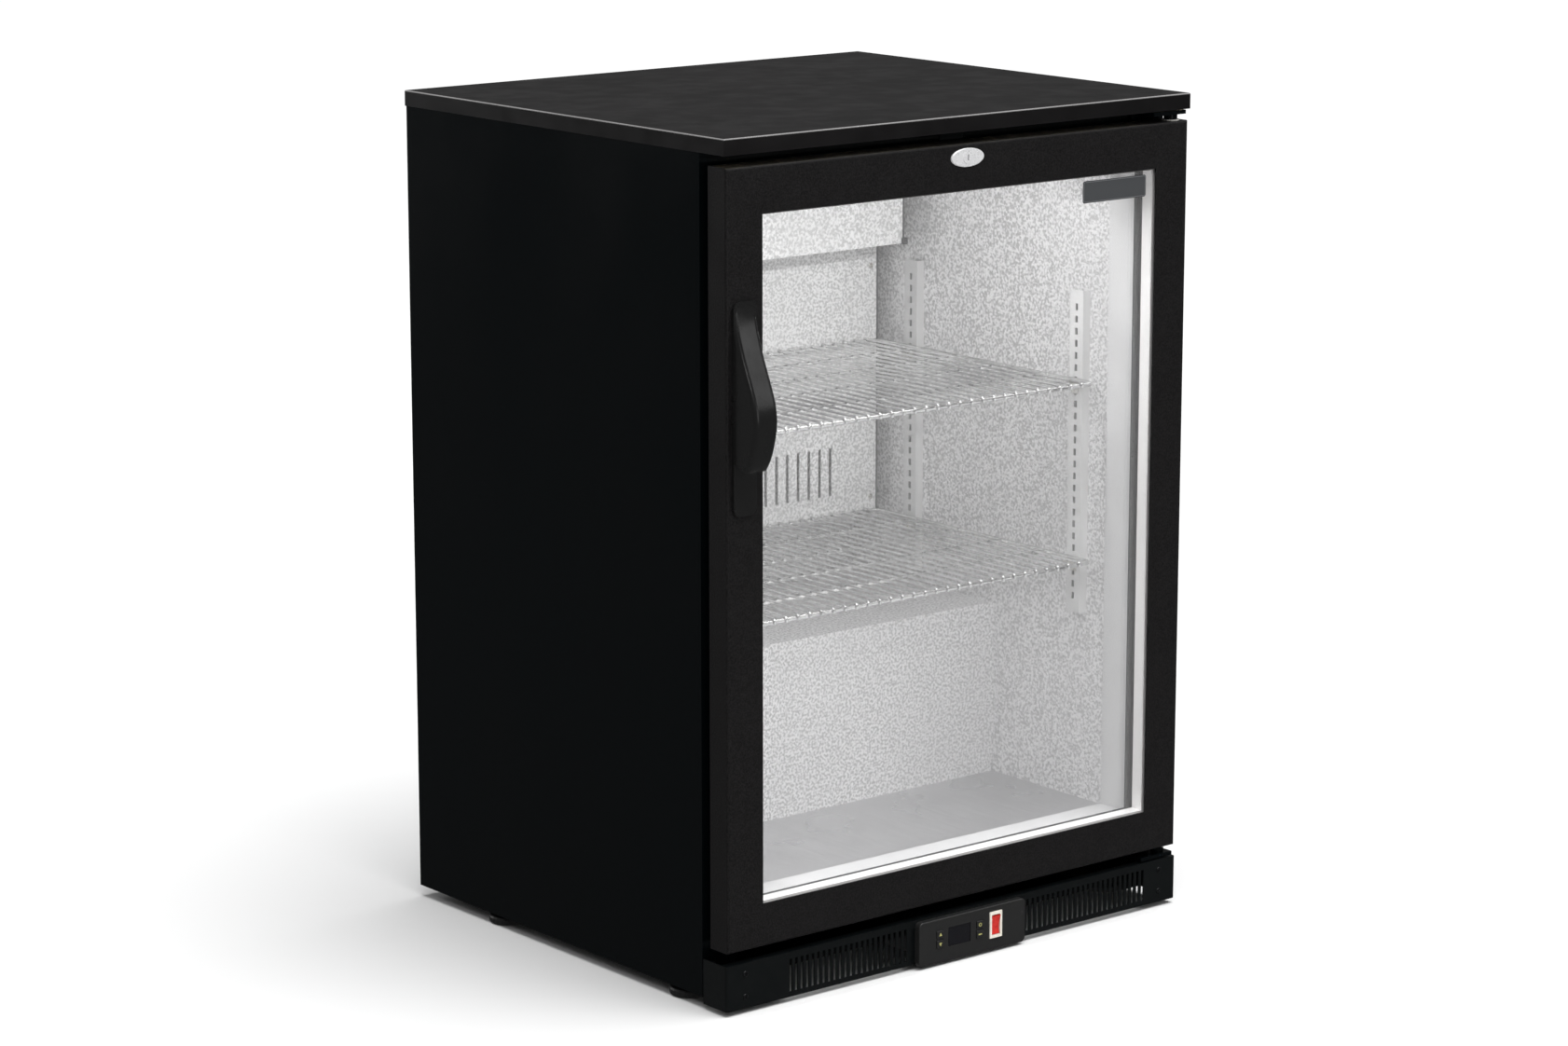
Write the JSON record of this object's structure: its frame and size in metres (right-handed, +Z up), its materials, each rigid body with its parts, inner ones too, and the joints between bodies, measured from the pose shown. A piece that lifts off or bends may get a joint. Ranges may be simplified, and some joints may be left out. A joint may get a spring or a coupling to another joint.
{
  "type": "undercounter refrigerator",
  "caption": "Black undercounter back-bar refrigerator with a hinged glass door, side handle, lock, wire shelves, kick grille with controls and levelling feet.",
  "frame": {"origin": "on the floor, under the centre of the whole outline, handle included", "axes": "+Z up, the door faces -Y, +X to the right of a person who faces the door"},
  "size_m": [0.6, 0.556, 0.85],
  "materials": {
    "black_coat": "gloss",
    "worktop_coat": "satin",
    "door_coat": "satin",
    "galvanised": "satin",
    "plated_steel": "polished",
    "embossed_aluminium": "satin",
    "bare_aluminium": "satin",
    "copper": "satin",
    "chrome": "polished",
    "white_coat": "satin",
    "pale_plastic": "satin",
    "black_plastic": "satin",
    "grille_plastic": "satin",
    "bezel_plastic": "satin",
    "key_plastic": "matte",
    "switch_frame": "satin",
    "switch_red": "gloss",
    "display_black": "gloss",
    "gasket_rubber": "matte",
    "foot_rubber": "matte",
    "nylon": "satin",
    "shelf_chrome": "polished",
    "pane": "polished",
    "foam": "matte",
    "pot_coat": "gloss"
  },
  "bodies": {
    "cabinet": {"worktop": "worktop_coat", "side_panel_left": "black_coat", "side_panel_right": "black_coat", "top_deck": "black_coat", "underfloor_panel": "black_coat", "back_panel": "galvanised", "insulation": "foam", "liner_sides_and_top": "embossed_aluminium", "liner_back": "embossed_aluminium", "liner_floor": "bare_aluminium", "liner_step": "embossed_aluminium", "breaker_strips": "pale_plastic", "pilasters": "white_coat", "shelf_clips": "plated_steel", "fan_box": "white_coat", "evaporator_cover": "white_coat", "evaporator": "bare_aluminium", "drain_pan": "pale_plastic", "evaporator_fan_motor": "galvanised", "led_lamp": "pale_plastic", "base_pan": "black_coat", "compressor": "pot_coat", "evaporating_tray": "black_plastic", "condenser": "bare_aluminium", "fan_shroud": "galvanised", "condenser_fan_motor": "galvanised", "refrigerant_pipes": "copper", "rear_grille": "galvanised", "cable_gland": "black_plastic", "grille": "grille_plastic", "controller_bezel": "bezel_plastic", "controller_body": "display_black", "rocker_housing": "switch_frame", "top_hinge": "black_coat", "bottom_hinge": "black_coat", "lock_keeper": "black_coat", "screws": "plated_steel"},
    "door": {"door_frame": "door_coat", "closer_bar": "plated_steel", "door_liner": "grille_plastic", "glass_panes": "pane", "glass_spacer": "bare_aluminium", "gasket": "gasket_rubber", "hinge_bushes": "nylon", "handle": "black_plastic", "lock_barrel": "chrome"},
    "lock": {"lock_cylinder": "chrome"},
    "lower_shelf": {"lower_shelf": "shelf_chrome"},
    "upper_shelf": {"upper_shelf": "shelf_chrome"},
    "evaporator_fan": {"evaporator_fan": "black_plastic"},
    "condenser_fan": {"condenser_fan": "black_plastic"},
    "rocker": {"rocker": "switch_red"},
    "foot_front_left": {"foot_front_left": "foot_rubber"},
    "foot_front_right": {"foot_front_right": "foot_rubber"},
    "foot_rear_left": {"foot_rear_left": "foot_rubber"},
    "foot_rear_right": {"foot_rear_right": "foot_rubber"},
    "key_upper_left": {"key_upper_left": "key_plastic"},
    "key_lower_left": {"key_lower_left": "key_plastic"},
    "key_upper_right": {"key_upper_right": "key_plastic"},
    "key_lower_right": {"key_lower_right": "key_plastic"}
  },
  "joints": [
    {"name": "door_swing", "type": "hinge", "parent": "cabinet", "child": "door", "pos_m": [0.285, -0.229, 0.443], "axis": [0, 0, 1], "range_deg": [0, 110], "stiffness_Nm_per_rad": 0.2, "springref_deg": -34.38},
    {"name": "lock_turn", "type": "hinge", "parent": "door", "child": "lock", "pos_m": [0, -0.213, 0.809], "axis": [0, 1, 0], "range_deg": [0, 90]},
    {"name": "lower_shelf_lift", "type": "slide", "parent": "cabinet", "child": "lower_shelf", "axis": [0, 0, 1], "range_m": [0, 0.02]},
    {"name": "upper_shelf_lift", "type": "slide", "parent": "cabinet", "child": "upper_shelf", "axis": [0, 0, 1], "range_m": [0, 0.02]},
    {"name": "evaporator_fan_spin", "type": "hinge", "parent": "cabinet", "child": "evaporator_fan", "pos_m": [0, 0.142, 0.7265], "axis": [0, 1, 0], "continuous": true},
    {"name": "condenser_fan_spin", "type": "hinge", "parent": "cabinet", "child": "condenser_fan", "pos_m": [0.14, 0.118, 0.12975], "axis": [0, 1, 0], "continuous": true},
    {"name": "power_rocker", "type": "hinge", "parent": "cabinet", "child": "rocker", "pos_m": [0.041, -0.2445, 0.0293], "axis": [1, 0, 0], "range_deg": [-12, 0]},
    {"name": "foot_front_left_level", "type": "slide", "parent": "cabinet", "child": "foot_front_left", "axis": [0, 0, 1], "range_m": [-0.012, 0]},
    {"name": "foot_front_right_level", "type": "slide", "parent": "cabinet", "child": "foot_front_right", "axis": [0, 0, 1], "range_m": [-0.012, 0]},
    {"name": "foot_rear_left_level", "type": "slide", "parent": "cabinet", "child": "foot_rear_left", "axis": [0, 0, 1], "range_m": [-0.012, 0]},
    {"name": "foot_rear_right_level", "type": "slide", "parent": "cabinet", "child": "foot_rear_right", "axis": [0, 0, 1], "range_m": [-0.012, 0]},
    {"name": "key_upper_left_press", "type": "slide", "parent": "cabinet", "child": "key_upper_left", "axis": [0, 1, 0], "range_m": [0, 0.0008], "stiffness_N_per_m": 400, "springref_m": -0.001},
    {"name": "key_lower_left_press", "type": "slide", "parent": "cabinet", "child": "key_lower_left", "axis": [0, 1, 0], "range_m": [0, 0.0008], "stiffness_N_per_m": 400, "springref_m": -0.001},
    {"name": "key_upper_right_press", "type": "slide", "parent": "cabinet", "child": "key_upper_right", "axis": [0, 1, 0], "range_m": [0, 0.0008], "stiffness_N_per_m": 400, "springref_m": -0.001},
    {"name": "key_lower_right_press", "type": "slide", "parent": "cabinet", "child": "key_lower_right", "axis": [0, 1, 0], "range_m": [0, 0.0008], "stiffness_N_per_m": 400, "springref_m": -0.001}
  ]
}
